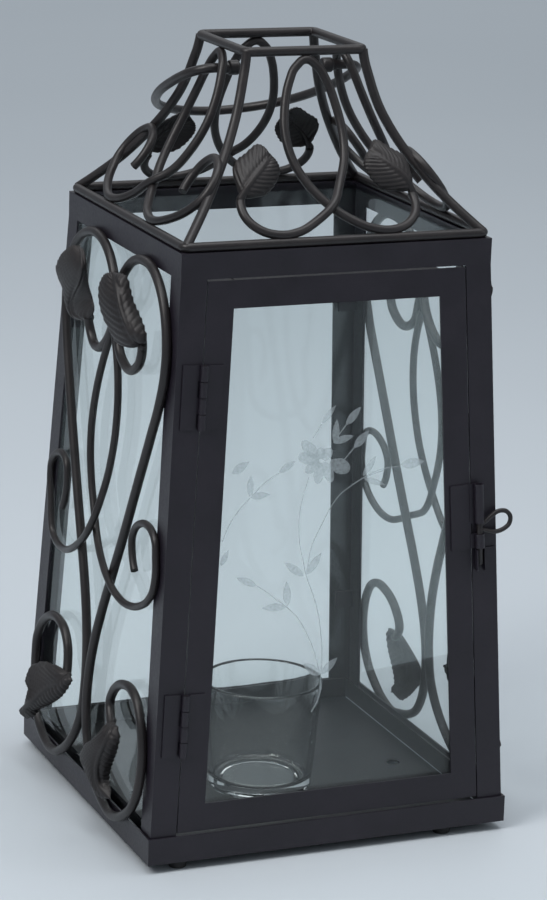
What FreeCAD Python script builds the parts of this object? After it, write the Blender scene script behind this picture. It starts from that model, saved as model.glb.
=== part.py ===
import FreeCAD, Part
import math
import os

# Square candle lantern: tapered sheet-steel case with glazed sides, hinged
# front door with a slide latch, scrollwork on the two sides, a flared wire
# crown with a swinging bail handle, and a loose glass candle cup.
# Millimetres.  +Z up, front (door) towards -Y, origin on the table under the
# middle of the case.

# ---------------------------------------------------------------- dimensions
FOOT_H = 5.0            # underside of the base above the table
BASE_HALF = 101.6       # half width of the base band
BASE_TOP = 19.25
BASE_T = 1.0
FLOOR_Z = 9.6           # top of the recessed floor
FLOOR_T = 1.0
HALF_BOTTOM = 100.0     # half width of the case at the top of the base band
HALF_TOP = 85.16        # half width of the case under the top band
CASE_TOP = 307.14
BAND_TOP = 320.7
SHEET = 1.2             # posts, door frame and top band
BAND_LIP = 5.0
POST_W = 14.0           # width of each flange of a corner post
DOOR_GAP = 0.6
DOOR_W = 14.5           # face width of door stiles and rails
DOOR_Z0 = 20.4
DOOR_Z1 = 306.2
DOOR_RETURN = 8.0       # depth of the folded edge of the door frame
GLASS_T = 2.0
WIRE_R = 2.5            # heavy round wire
RIBBON_R = 2.3          # wire of the crown ribbons
TENDRIL_R = 2.0         # lighter scroll wire
RING_LOW_HALF = 82.37
RING_LOW_Z = 323.1
RING_TOP_HALF = 32.51
RING_TOP_Z = 411.6
BAIL_Z = 398.8          # height of the bail pivots
BAIL_TILT = -22.0       # rest angle of the bail, behind the crown
KNOB_R = 3.9
HINGE_R = 2.0           # hinge barrel
HINGE_PIN_R = 1.0
HINGE_RUN = 0.06
HINGE_D = 2.4           # barrel centre in front of the door plane
HINGE_H = 33.0
LEAF_T = 0.9
LATCH_D = 2.9
BOLT_R = 1.5
CUP_X, CUP_Y = -6.8, -19.6
CUP_R_TOP = 32.6
CUP_R_BOTTOM = 28.5
CUP_H = 60.3

os.makedirs("parts", exist_ok=True)
V = FreeCAD.Vector
SLOPE = (HALF_BOTTOM - HALF_TOP) / (CASE_TOP - BASE_TOP)


def half(z):
    """Half width of the case at height z."""
    return HALF_BOTTOM - (z - BASE_TOP) * SLOPE


def save(shape, name):
    shape.exportStep("parts/" + name + ".step")


# ------------------------------------------------------------- basic shapes
def face_of(points):
    return Part.Face(Part.makePolygon(list(points) + [points[0]]))


def taper(outline, z0, z1):
    """Solid between two similar outlines; outline(h) gives the plan points."""
    lo = [V(x, y, z0) for x, y in outline(half(z0))]
    hi = [V(x, y, z1) for x, y in outline(half(z1))]
    n = len(lo)
    faces = [face_of(lo), face_of(hi)]
    for i in range(n):
        j = (i + 1) % n
        faces.append(face_of([lo[i], lo[j], hi[j], hi[i]]))
    shell = Part.Shell(faces)
    shell.sewShape()
    solid = Part.Solid(shell)
    if solid.Volume < 0:
        solid.reverse()
    return solid


def box(x0, x1, y0, y1, z0, z1):
    return Part.makeBox(x1 - x0, y1 - y0, z1 - z0, V(x0, y0, z0))


def frame_matrix(o, ex, ey, ez):
    return FreeCAD.Matrix(ex.x, ey.x, ez.x, o.x,
                          ex.y, ey.y, ez.y, o.y,
                          ex.z, ey.z, ez.z, o.z,
                          0, 0, 0, 1)


def unit(v):
    w = V(v.x, v.y, v.z)
    w.normalize()
    return w


# ------------------------------------------------------------------- tubes
def tangents(p):
    n = len(p)
    t = [None] * n
    for i in range(1, n - 1):
        u, w = p[i] - p[i - 1], p[i + 1] - p[i]
        lu, lw = u.Length, w.Length
        t[i] = unit(u * (lw / lu) + w * (lu / lw))
    c = unit(p[1] - p[0])
    t[0] = unit(c * (2 * c.dot(t[1])) - t[1])
    c = unit(p[-1] - p[-2])
    t[-1] = unit(c * (2 * c.dot(t[-2])) - t[-2])
    return t


def arc(p0, t0, p1):
    ch = p1 - p0
    c = unit(ch)
    if c.cross(t0).Length < 2e-4:
        return Part.LineSegment(p0, p1).toShape()
    ang = math.acos(max(-1.0, min(1.0, c.dot(t0))))
    side = unit(c.cross(t0)).cross(c)
    mid = (p0 + p1) * 0.5 + side * (ch.Length / 2 * math.tan(ang / 2))
    return Part.Arc(p0, mid, p1).toShape()


def tube(points, r, ends=None):
    """Round wire through the points, built from tangent arcs."""
    p = [V(*q) for q in points]
    t = tangents(p)
    if ends:
        if ends[0] is not None:
            t[0] = unit(V(*ends[0]))
        if ends[1] is not None:
            t[-1] = unit(V(*ends[1]))
    edges = []
    for i in range(len(p) - 1):
        p0, p1, t0, t1 = p[i], p[i + 1], t[i], t[i + 1]
        v, s = p1 - p0, t0 + t1
        a, b, c = 2 * (1 - t0.dot(t1)), 2 * v.dot(s), -v.dot(v)
        d = -c / b if abs(a) < 1e-9 else (-b + math.sqrt(b * b - 4 * a * c)) / (2 * a)
        pm = (p0 + t0 * d + p1 - t1 * d) * 0.5
        edges.append(arc(p0, t0, pm))
        e = arc(p1, t1 * -1, pm)
        edges.append(e)
    wire = Part.Wire(Part.__sortEdges__(edges))
    ring = Part.Wire([Part.makeCircle(r, p[0], t[0])])
    solid = wire.makePipeShell([ring], True, False)
    if solid.Volume < 0:
        solid.reverse()
    return solid


def square_ring(hw, z, r, bend):
    """Closed square of round wire with rounded corners."""
    a = hw - bend
    parts = []
    corners = [(a, a, 0), (-a, a, 90), (-a, -a, 180), (a, -a, 270)]
    edges = []
    for cx, cy, s in corners:
        pts = []
        for k in (0, 45, 90):
            w = math.radians(s + k)
            pts.append(V(cx + bend * math.cos(w), cy + bend * math.sin(w), z))
        edges.append(Part.Arc(*pts).toShape())
    sides = [((a, hw), (-a, hw)), ((-hw, a), (-hw, -a)),
             ((-a, -hw), (a, -hw)), ((hw, -a), (hw, a))]
    for (x0, y0), (x1, y1) in sides:
        edges.append(Part.LineSegment(V(x0, y0, z), V(x1, y1, z)).toShape())
    wire = Part.Wire(Part.__sortEdges__(edges))
    ring = Part.Wire([Part.makeCircle(r, V(hw, 0, z), V(0, 1, 0))])
    start = Part.Wire([Part.makeCircle(r, wire.Vertexes[0].Point,
                                       wire.Edges[0].tangentAt(wire.Edges[0].FirstParameter))])
    solid = wire.makePipeShell([start], True, False)
    if solid.Volume < 0:
        solid.reverse()
    return solid


def mirror_x(s):
    return s.mirror(V(0, 0, 0), V(1, 0, 0))


def mirror_y(s):
    return s.mirror(V(0, 0, 0), V(0, 1, 0))


def half_turn(s):
    """The same piece on the opposite side of the case."""
    c = s.copy()
    c.rotate(V(0, 0, 0), V(0, 0, 1), 180)
    return c


# -------------------------------------------------------------------- base
outer = box(-BASE_HALF, BASE_HALF, -BASE_HALF, BASE_HALF, FOOT_H, BASE_TOP)
bi = BASE_HALF - BASE_T
skirt = outer.cut(box(-bi, bi, -bi, bi, FOOT_H - 1, BASE_TOP + 1))
save(skirt, "base_skirt")

floor = box(-bi, bi, -bi, bi, FLOOR_Z - FLOOR_T, FLOOR_Z)
for hx in (-76.0, 76.0):
    floor = floor.cut(Part.makeCylinder(3.7, 6, V(hx, -14.0, FLOOR_Z - 3)))
save(floor, "floor_plate")

feet = []
for fx, fy in ((-82.5, -94.0), (68.5, -93.5), (-76.0, 93.5), (76.0, 93.5)):
    f = Part.makeCone(4.6, 5.4, FLOOR_Z - FLOOR_T, V(fx, fy, 0))
    low = [e for e in f.Edges if abs(e.BoundBox.ZMax) < 1e-6 and e.Length > 5]
    feet.append(f.makeFillet(0.7, low))
save(Part.makeCompound(feet), "feet")

# inner rail that holds the foot of the fixed panes on three sides
SILL_IN, SILL_OUT, SILL_TOP = 94.6, 95.6, 20.6
sill = box(-SILL_OUT, SILL_OUT, -SILL_OUT, SILL_OUT, FLOOR_Z, SILL_TOP)
sill = sill.cut(box(-SILL_IN, SILL_IN, -SILL_OUT - 1, SILL_IN, FLOOR_Z - 1, SILL_TOP + 1))
save(sill, "sill_frame")


# ------------------------------------------------------------------- posts
def post_outline(sx, sy):
    def outline(h):
        w, t = POST_W, SHEET
        pts = [(h, h), (h - w, h), (h - w, h - t), (h - t, h - t), (h - t, h - w), (h, h - w)]
        return [(sx * x, sy * y) for x, y in pts]
    return outline


for name, sx, sy in (("post_front_left", -1, -1), ("post_front_right", 1, -1),
                     ("post_rear_left", -1, 1), ("post_rear_right", 1, 1)):
    save(taper(post_outline(sx, sy), FLOOR_Z, CASE_TOP), name)

# ---------------------------------------------------------------- top band
ho, hi_, hl = HALF_TOP, HALF_TOP - SHEET, HALF_TOP - SHEET - BAND_LIP + 0.6
band = box(-ho, ho, -ho, ho, CASE_TOP, BAND_TOP)
band = band.cut(box(-hi_, hi_, -hi_, hi_, CASE_TOP - 1, BAND_TOP - SHEET))
band = band.cut(box(-hl, hl, -hl, hl, CASE_TOP - 1, BAND_TOP + 1))
save(band, "top_band")

# ------------------------------------------------------------- fixed glass
PANE_OUT, PANE_IN = 1.5, 1.5 + GLASS_T


def side_pane(s):
    def outline(h):
        pts = [(h - PANE_OUT, -(h - 3.8)), (h - PANE_OUT, h - 5.2),
               (h - PANE_IN, h - 5.2), (h - PANE_IN, -(h - 3.8))]
        return [(s * x, y) for x, y in pts]
    return outline


save(taper(side_pane(-1), FLOOR_Z + 0.1, 316.0), "pane_left")
save(taper(side_pane(1), FLOOR_Z + 0.1, 316.0), "pane_right")
save(taper(lambda h: [(-(h - 3.8), h - PANE_OUT), (h - 3.8, h - PANE_OUT),
                      (h - 3.8, h - PANE_IN), (-(h - 3.8), h - PANE_IN)],
           FLOOR_Z + 0.1, 316.0), "pane_rear")

clips = []
for zc in (70.0, 250.0):
    for s in (-1, 1):
        clips.append(taper(lambda h: [(s * (h - 4.6), -(h - 1.2)), (s * (h - 3.6), -(h - 1.2)),
                                      (s * (h - 3.6), -(h - 12)), (s * (h - 4.6), -(h - 12))], zc - 5, zc + 5))
        clips.append(taper(lambda h: [(s * (h - 1.2), h - 4.6), (s * (h - 1.2), h - 3.6),
                                      (s * (h - 12), h - 3.6), (s * (h - 12), h - 4.6)], zc - 5, zc + 5))
save(Part.makeCompound(clips), "pane_clips")

# -------------------------------------------------------------------- door
D0 = POST_W + DOOR_GAP                 # door edge measured in from the case edge
D1 = D0 + DOOR_W


def stile(s):
    def outline(h):
        pts = [(h - D0, -h), (h - D1, -h), (h - D1, -(h - SHEET)), (h - D0 - SHEET, -(h - SHEET)),
               (h - D0 - SHEET, -(h - DOOR_RETURN)), (h - D0, -(h - DOOR_RETURN))]
        return [(s * x, y) for x, y in pts]
    return outline


save(taper(stile(-1), DOOR_Z0, DOOR_Z1), "door_stile_hinge")
save(taper(stile(1), DOOR_Z0, DOOR_Z1), "door_stile_latch")


def rail(z0, z1, up):
    face = taper(lambda h: [(-(h - D1), -h), (h - D1, -h), (h - D1, -(h - SHEET)), (-(h - D1), -(h - SHEET))], z0, z1)
    f0, f1 = (z1 - SHEET, z1) if up else (z0, z0 + SHEET)
    fold = taper(lambda h: [(-(h - D1), -(h - SHEET / 2)), (h - D1, -(h - SHEET / 2)),
                            (h - D1, -(h - DOOR_RETURN)), (-(h - D1), -(h - DOOR_RETURN))], f0, f1)
    return face.fuse(fold).removeSplitter()


save(rail(DOOR_Z1 - 14.4, DOOR_Z1, True), "door_rail_top")
save(rail(DOOR_Z0, DOOR_Z0 + 14.4, False), "door_rail_bottom")
save(taper(lambda h: [(-(h - 17.5), -(h - PANE_OUT)), (h - 17.5, -(h - PANE_OUT)),
                      (h - 17.5, -(h - PANE_IN)), (-(h - 17.5), -(h - PANE_IN))],
           DOOR_Z0 + 3, DOOR_Z1 - 3), "door_pane")
dclips = []
for zc in (70.0, 250.0):
    for s in (-1, 1):
        dclips.append(taper(lambda h: [(s * (h - D0 - SHEET), -(h - 3.6)), (s * (h - 24), -(h - 3.6)),
                                       (s * (h - 24), -(h - 4.6)), (s * (h - D0 - SHEET), -(h - 4.6))], zc - 5, zc + 5))
save(Part.makeCompound(dclips), "door_clips")

# ------------------------------------------------------------------ hinges
N = unit(V(0, -1, SLOPE))              # outward normal of the front plane
U = unit(V(SLOPE, SLOPE, 1))           # along the hinge-side edge of the door
UX = U.cross(N)


def hinge(zc):
    """Butt hinge; local x across, y out of the door plane, z along the pin."""
    o = V(-(half(zc) - D0 + 0.3), -half(zc), zc) + N * HINGE_D
    m = frame_matrix(o, UX, N, U)
    seg = HINGE_H / 4
    z0 = -HINGE_H / 2
    gap = 0.35
    frame, door = None, None
    for k in range(4):
        mine_frame = k % 2 == 1          # from the bottom: door, frame, door, frame
        a, b = z0 + k * seg, z0 + (k + 1) * seg
        lo = a + (gap / 2 if k else 0)
        hi = b - (gap / 2 if k < 3 else 0)
        s = -1 if mine_frame else 1
        knuckle = Part.makeCylinder(HINGE_R, hi - lo, V(0, 0, lo))
        xa, xb = sorted((0, s * 3.0))
        web = box(xa, xb, -HINGE_D, -HINGE_D + LEAF_T, lo, hi)
        # the web keeps clear of the flat behind the barrel of the other leaf
        piece = knuckle.fuse(web)
        if mine_frame:
            frame = piece if frame is None else frame.fuse(piece)
        else:
            door = piece if door is None else door.fuse(piece)
    frame = frame.fuse(box(-10.9, -2.7, -HINGE_D, -HINGE_D + LEAF_T, z0, -z0))
    door = door.fuse(box(2.7, 10.9, -HINGE_D, -HINGE_D + LEAF_T, z0, -z0))
    # door leaf is trimmed so that it lies only on the door edge
    door = door.cut(box(-0.05, 0.5, -HINGE_D - 1, -HINGE_D + 0.35, z0 - 1, -z0 + 1))
    frame = frame.cut(box(-0.5, 0.6, -HINGE_D - 1, -HINGE_D + 0.35, z0 - 1, -z0 + 1))
    frame = frame.cut(Part.makeCylinder(HINGE_PIN_R, 2 * HINGE_H, V(0, 0, -HINGE_H)))
    door = door.cut(Part.makeCylinder(HINGE_PIN_R + HINGE_RUN, 2 * HINGE_H, V(0, 0, -HINGE_H)))
    pin = Part.makeCylinder(HINGE_PIN_R, HINGE_H, V(0, 0, z0))
    out = []
    for s in (frame.removeSplitter(), door.removeSplitter(), pin):
        out.append(s.transformGeometry(m) if False else s.transformed(m))
    return out


hu = hinge(247.9)
hl_ = hinge(77.9)
save(hu[0], "hinge_upper_frame_leaf")
save(hu[1], "hinge_upper_door_leaf")
save(hl_[0], "hinge_lower_frame_leaf")
save(hl_[1], "hinge_lower_door_leaf")
save(Part.makeCompound([hu[2], hl_[2]]), "hinge_pins")

# ------------------------------------------------------------------- latch
W = unit(V(-SLOPE, SLOPE, 1))          # along the latch-side edge of the door
WX = W.cross(N)
LZ = 170.0                             # height of the latch frame
lo_ = V(half(LZ) - 10.8, -half(LZ), LZ) + N * LATCH_D
LM = frame_matrix(lo_, WX, N, W)
TUBE_R = 2.5

plate = box(-15.4, -4.0, -LATCH_D, -LATCH_D + LEAF_T, -12.5, 22.3)
web_hi = box(-4.7, 0, -2.5, -1.6, 1.3, 22.3)
web_lo = box(-4.7, 0, -2.5, -1.6, -12.2, -4.6)
up_tube = Part.makeCylinder(TUBE_R, 21.0, V(0, 0, 1.3))
lo_tube = Part.makeCylinder(TUBE_R, 7.6, V(0, 0, -12.2))
guide = plate.fuse([web_hi, web_lo, up_tube, lo_tube])
guide = guide.cut(Part.makeCylinder(BOLT_R + 0.10, 60, V(0, 0, -30)))
guide = guide.cut(box(0, 5, -1.4, 1.4, 0, 16.5))       # slot for the pull ring
save(guide.removeSplitter().transformed(LM), "latch_plate")

keeper = Part.makeCylinder(TUBE_R, 11.4, V(0, 0, -24.4))
keeper = keeper.fuse(box(0, 9.4, -LATCH_D, -LATCH_D + LEAF_T, -24.4, -13.0))
keeper = keeper.fuse(box(-1.6, 1.6, -LATCH_D, -1.6, -24.4, -13.0))
keeper = keeper.cut(Part.makeCylinder(BOLT_R + 0.35, 60, V(0, 0, -50)))
keeper = keeper.cut(box(-BOLT_R - 0.35, BOLT_R + 0.35, 0, 6, -26, -12))   # open front mouth
save(keeper.removeSplitter().transformed(LM), "latch_keeper")

rod = Part.makeCylinder(BOLT_R, 29.5, V(0, 0, -21.0))
RING_PTS = [(0.0, 0.3), (2.4, 0.7), (5.8, 2.9), (10.0, 5.2), (14.0, 4.7), (16.2, 1.4),
            (15.4, -2.2), (12.0, -4.4), (8.0, -5.0), (4.6, -4.1), (2.2, -3.0), (0.0, -2.6)]
ring = tube([(a, 0.0, c) for a, c in RING_PTS], 1.0, ((1, 0, 0), (-1, 0, 0)))
save(rod.fuse(ring).removeSplitter().transformed(LM), "latch_bolt")

# ---------------------------------------------------------- side scrollwork
# Each point: distance forward of the middle of the side, height, and distance
# of the wire centre outside the slanted plane of the case side.
LONG_FRONT = [(45.5, 61.2, 4.6), (39.2, 65.3, 3.3), (35.2, 71.3, 2.5), (38.6, 78.2, 2.4), (44.9, 83.6, 2.4),
              (53.9, 87.1, 2.4), (63.7, 88.0, 2.4), (73.0, 84.6, 2.4), (79.9, 76.8, 2.4), (84.6, 65.8, 2.4),
              (86.7, 51.3, 2.7), (86.3, 39.7, 3.7), (81.3, 30.4, 4.0), (72.8, 23.2, 4.0), (62.7, 17.7, 4.0),
              (50.8, 14.8, 4.0), (37.8, 17.2, 3.9), (23.6, 21.9, 3.2), (13.0, 28.1, 2.5), (5.9, 37.1, 2.4),
              (1.4, 49.2, 2.4), (-0.3, 63.4, 2.4), (1.0, 78.7, 2.4), (5.5, 95.3, 2.4), (13.4, 114.3, 2.4),
              (25.3, 138.3, 2.4), (38.5, 164.9, 2.4), (52.4, 194.6, 2.4), (65.6, 222.5, 2.4),
              (74.3, 241.8, 2.4), (78.4, 256.3, 2.4), (78.8, 269.5, 2.4), (75.6, 282.2, 2.4),
              (69.4, 293.4, 2.4), (60.7, 301.8, 2.4), (50.2, 307.0, 2.4), (39.1, 308.1, 2.4),
              (29.3, 306.7, 2.5), (20.9, 302.3, 3.3), (16.9, 294.4, 5.6), (13.0, 284.5, 6.0),
              (5.5, 273.4, 3.8), (-2.3, 261.5, 2.5), (-10.0, 253.8, 2.4), (-17.7, 249.9, 2.4),
              (-25.7, 250.3, 2.5), (-31.0, 255.5, 2.9), (-32.4, 263.0, 4.5)]
LONG_REAR = [(-28.5, 62.2, 4.6), (-32.1, 70.7, 2.8), (-35.3, 79.9, 2.4), (-41.8, 86.5, 2.4),
             (-51.1, 89.2, 2.4), (-61.5, 88.4, 2.4), (-71.3, 84.2, 2.4), (-79.5, 77.6, 2.4),
             (-85.1, 68.8, 2.4), (-85.9, 57.7, 2.4), (-84.0, 43.9, 2.5), (-79.9, 32.9, 2.9),
             (-72.5, 25.0, 3.4), (-62.0, 19.7, 3.9), (-50.4, 16.6, 4.0), (-38.4, 17.9, 4.0),
             (-27.8, 23.2, 4.0), (-18.3, 30.4, 3.9), (-10.9, 40.4, 3.2), (-6.4, 52.7, 2.4), (-4.3, 67.2, 2.4),
             (-4.9, 83.5, 2.4), (-8.1, 100.4, 2.4), (-14.1, 118.5, 2.4), (-23.4, 139.6, 2.4),
             (-36.4, 167.2, 2.4), (-48.7, 194.3, 2.4), (-59.8, 220.6, 2.4), (-69.0, 244.3, 2.4),
             (-73.4, 259.8, 2.4), (-74.1, 272.8, 2.4), (-71.1, 284.8, 2.4), (-65.5, 295.0, 2.4),
             (-56.5, 302.2, 2.4), (-45.7, 306.5, 2.4), (-33.9, 308.1, 2.4), (-22.0, 306.2, 2.4),
             (-11.6, 300.9, 2.4), (-3.3, 292.5, 2.4), (2.8, 280.8, 2.4), (7.9, 265.0, 2.4), (12.6, 255.4, 2.4),
             (20.2, 250.5, 2.4), (28.9, 248.8, 2.4), (37.1, 251.4, 2.4), (43.6, 257.3, 2.4),
             (45.3, 265.1, 2.6), (43.9, 272.3, 3.6)]
TENDRIL_FRONT = [(-0.8, 262.5, 2.2), (-9.6, 247.2, 2.2), (-16.1, 232.6, 2.2), (-20.2, 218.5, 2.2),
                 (-21.8, 205.3, 2.2), (-20.8, 192.9, 2.2), (-17.2, 180.4, 2.2), (-10.2, 165.5, 2.2),
                 (-3.9, 155.4, 2.5), (3.7, 148.9, 3.5), (15.3, 143.6, 5.3), (29.9, 138.1, 6.8),
                 (40.9, 133.3, 6.3), (49.2, 130.5, 4.4), (58.4, 131.0, 2.9), (68.5, 134.6, 2.1),
                 (77.4, 140.1, 2.0), (83.0, 146.7, 2.0), (85.0, 154.3, 2.0), (83.6, 165.1, 2.0),
                 (81.1, 172.4, 2.0), (75.4, 176.2, 2.0), (67.3, 177.3, 2.0), (58.8, 175.2, 2.0),
                 (52.2, 170.9, 2.0), (48.9, 165.0, 2.0), (50.1, 157.9, 2.0), (55.5, 149.3, 2.0)]
TENDRIL_REAR = [(2.4, 263.2, 2.2), (9.0, 250.9, 2.2), (13.2, 238.4, 2.2), (15.0, 225.5, 2.2),
                (14.6, 212.3, 2.2), (11.8, 198.7, 2.2), (7.3, 184.1, 2.6), (5.8, 174.5, 4.3),
                (4.4, 165.5, 6.3), (-0.3, 157.8, 7.0), (-8.5, 149.4, 6.9), (-19.4, 142.1, 6.4),
                (-32.2, 135.6, 5.2), (-44.9, 131.3, 3.9), (-56.6, 129.6, 2.8), (-66.1, 130.4, 2.2),
                (-72.5, 133.6, 2.0), (-76.0, 139.8, 2.0), (-78.5, 151.0, 2.0), (-81.9, 163.3, 2.0),
                (-81.5, 170.4, 2.0), (-77.0, 175.6, 2.0), (-70.1, 179.0, 2.0), (-63.0, 179.6, 2.0),
                (-57.2, 176.6, 2.0), (-54.8, 169.6, 2.0), (-55.1, 161.0, 2.0), (-59.0, 151.0, 2.0)]


def side_point(a, z, off):
    """Point beside the left face; a is forward (towards -Y)."""
    return (-(half(z) + off), -a, z)


long_front = tube([side_point(*q) for q in LONG_FRONT], WIRE_R)
long_rear = tube([side_point(*q) for q in LONG_REAR], WIRE_R)
tend_front = tube([side_point(*q) for q in TENDRIL_FRONT], TENDRIL_R)
tend_rear = tube([side_point(*q) for q in TENDRIL_REAR], TENDRIL_R)
save(long_front, "scroll_left_front")
save(long_rear, "scroll_left_rear")
save(tend_front, "tendril_left_front")
save(tend_rear, "tendril_left_rear")
save(half_turn(long_rear), "scroll_right_front")
save(half_turn(long_front), "scroll_right_rear")
save(half_turn(tend_rear), "tendril_right_front")
save(half_turn(tend_front), "tendril_right_rear")


# ------------------------------------------------------------------ leaves
def leaf(base, tip, left, right, out, radius=28.0, t=1.2):
    """Cupped leaf plate from base to tip; left/right are its widest points."""
    b, e = V(*base), V(*tip)
    ex = unit(e - b)
    w = V(*left) - V(*right)
    w = w - ex * w.dot(ex)
    width = w.Length
    ey = unit(w)
    ez = ex.cross(ey)
    if ez.dot(V(*out)) < 0:
        ey = ey * -1
        ez = ex.cross(ey)
    length = (e - b).Length
    prof = [(-0.02, 0.0), (0.06, 0.16), (0.2, 0.36), (0.4, 0.5), (0.58, 0.47), (0.76, 0.33), (0.9, 0.15), (1.0, 0.0)]
    pts = [V(x * length, y * width, 0) for x, y in prof] + [V(x * length, -y * width, 0) for x, y in prof[-2:0:-1]]
    curve = Part.BSplineCurve()
    curve.interpolate(pts, PeriodicFlag=True)
    zc = 1.0 - math.sqrt(max(1.0, radius ** 2 - (length * 0.5) ** 2))
    out_s = Part.makeSphere(radius, V(length / 2, 0, zc))
    in_s = Part.makeSphere(radius - t, V(length / 2, 0, zc))
    prism = Part.Face(Part.Wire([curve.toShape()])).extrude(V(0, 0, radius + 5))
    prism.translate(V(0, 0, zc + 2))
    s = out_s.cut(in_s).common(prism)
    s = max(s.Solids, key=lambda q: q.Volume)
    return s.transformed(frame_matrix(b, ex, ey, ez))


def side_leaf(base, tip, left, right):
    return leaf(side_point(*base), side_point(*tip), side_point(*left), side_point(*right), (-1, 0, 0.05))


side_leaves = {
    "upper_rear": side_leaf((-36.5, 259.5, 6.0), (-41.0, 299.0, 11.0), (-50.0, 284.0, 17.0), (-25.0, 271.0, 7.0)),
    "upper_front": side_leaf((48.5, 267.5, 5.4), (22.0, 298.0, 14.0), (14.0, 284.0, 16.5), (46.0, 277.0, 7.0)),
    "lower_rear": side_leaf((-28.0, 66.5, 6.4), (-54.0, 34.0, 15.0), (-57.0, 56.0, 14.0), (-31.0, 42.0, 9.0)),
    "lower_front": side_leaf((42.5, 62.5, 5.6), (49.0, 25.5, 7.0), (27.0, 41.0, 13.0), (55.0, 50.0, 7.0)),
}
for key, s in side_leaves.items():
    level, end = key.split("_")
    save(s, "leaf_left_" + key)
    save(half_turn(s), "leaf_right_" + level + ("_front" if end == "rear" else "_rear"))

# ------------------------------------------------------------------- crown
save(square_ring(RING_LOW_HALF, RING_LOW_Z, WIRE_R, 3.2), "crown_ring_lower")
save(square_ring(RING_TOP_HALF, RING_TOP_Z, WIRE_R, 3.2), "crown_ring_upper")

# flare of the crown: distance of its faces from the axis against height
FLARE = [(411.6, 32.2), (405.0, 33.2), (398.0, 34.9), (390.0, 37.0), (381.6, 39.8), (374.0, 43.2), (366.0, 47.4),
         (358.0, 52.4), (349.0, 58.7), (340.5, 65.4), (331.5, 73.6), (323.4, 81.6)]


def flare(z):
    pts = FLARE
    if z >= pts[0][0]:
        return pts[0][1]
    for (za, ba), (zb, bb) in zip(pts, pts[1:]):
        if zb <= z <= za:
            k = (z - zb) / (za - zb)
            return bb + (ba - bb) * k
    return pts[-1][1]


corner = tube([(b, b, z) for z, b in FLARE], WIRE_R)
save(corner, "crown_corner_rear_right")
save(mirror_x(corner), "crown_corner_rear_left")
save(mirror_y(corner), "crown_corner_front_right")
save(mirror_x(mirror_y(corner)), "crown_corner_front_left")

# ribbons: (distance along the face, height, extra distance outside the flare)
RIBBON_TOP = [(0.0, 407.3, 0.8), (6.2, 403.6, 1.2), (10.6, 396.0, 1.8), (14.0, 385.0, 2.4), (15.8, 373.0, 2.6),
              (14.4, 360.0, 2.6), (9.0, 348.5, 2.6)]
RIBBON_LEAF_END = [(0.0, 338.6, 2.6), (-9.5, 332.2, 2.8), (-19.8, 328.0, 3.0), (-30.5, 326.9, 3.0), (-40.6, 329.3, 2.8),
                   (-46.6, 334.6, 2.6), (-47.2, 342.5, 2.6)]
RIBBON_CURL_END = [(0.0, 340.0, 2.6), (-9.5, 333.4, 2.8), (-20.5, 328.6, 3.0), (-33.0, 327.3, 3.0), (-46.0, 330.4, 2.8),
                   (-56.6, 336.4, 2.6), (-62.2, 344.2, 2.6), (-60.6, 352.2, 2.6), (-54.0, 358.4, 2.6), (-46.0, 360.6, 2.6),
                   (-38.4, 357.4, 2.6), (-34.5, 350.4, 2.6), (-36.0, 342.2, 2.6)]


def ribbon(end):
    """One continuous wire: end, crossing, up one side, over and down."""
    first = [(-a, z, d) for a, z, d in reversed(end[1:])]
    left_up = [(-a, z, d) for a, z, d in reversed(RIBBON_TOP[1:])]
    # crossing is passed twice; the second pass lies slightly further out
    pts = [(a, z, d) for a, z, d in first]
    pts += [(end[0][0], end[0][1], end[0][2])]
    pts += left_up
    pts += [RIBBON_TOP[0]]
    pts += [(a, z, d) for a, z, d in RIBBON_TOP[1:]]
    pts += [(end[0][0], end[0][1], end[0][2] + 3.6)]
    pts += [(a, z, d + max(0.0, 2.4 - 0.16 * abs(a))) for a, z, d in end[1:]]
    return [(a, -(flare(z) + d), z) for a, z, d in pts]


def turn(p, k):
    x, y, z = p
    for _ in range(k):
        x, y = y, -x
    return (x, y, z)


rf = tube(ribbon(RIBBON_LEAF_END), RIBBON_R)
save(rf, "crown_ribbon_front")
save(mirror_y(rf), "crown_ribbon_rear")
rl = tube([turn(p, 1) for p in ribbon(RIBBON_CURL_END)], RIBBON_R)
save(rl, "crown_ribbon_left")
save(mirror_x(rl), "crown_ribbon_right")

cl = leaf((-46.0, -66.5, 343.0), (-30.5, -51.5, 368.0), (-50.0, -60.0, 357.0), (-23.0, -62.0, 354.5), (0, -1, 0.5), 24.0)
save(cl, "crown_leaf_front_left")
save(mirror_x(cl), "crown_leaf_front_right")
save(mirror_y(cl), "crown_leaf_rear_left")
save(mirror_x(mirror_y(cl)), "crown_leaf_rear_right")

# -------------------------------------------------------------------- bail
BAIL = [(27.5, 0.0), (33.0, -0.2), (39.0, 0.2), (43.6, 3.2), (47.2, 8.8), (49.2, 18.0), (50.0, 30.0), (49.8, 43.0),
        (47.6, 58.0), (43.4, 72.3), (36.6, 85.0), (27.6, 94.2), (15.5, 101.6), (0.0, 105.0)]
ct, st = math.cos(math.radians(BAIL_TILT)), math.sin(math.radians(BAIL_TILT))


def bail_point(x, r):
    return (x, r * ct, BAIL_Z + r * st)


bp = [bail_point(-x, r) for x, r in BAIL] + [bail_point(x, r) for x, r in reversed(BAIL[:-1])]
save(tube(bp, WIRE_R, ((-1, 0, 0), (-1, 0, 0))), "bail_wire")


def knob(side):
    """Turned button on the end of the bail, round about the pivot axis."""
    x0 = side * 23.2
    ax = V(side, 0, 0)
    k = Part.makeCylinder(KNOB_R, 6.2, V(x0, 0, BAIL_Z), ax)
    k = k.makeFillet(1.3, [e for e in k.Edges if isinstance(e.Curve, Part.Circle)])
    collar = Part.makeCylinder(KNOB_R - 0.9, 2.0, V(x0 + side * 6.0, 0, BAIL_Z), ax)
    return k.fuse(collar).removeSplitter()


save(Part.makeCompound([knob(-1), knob(1)]), "bail_knobs")

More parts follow.
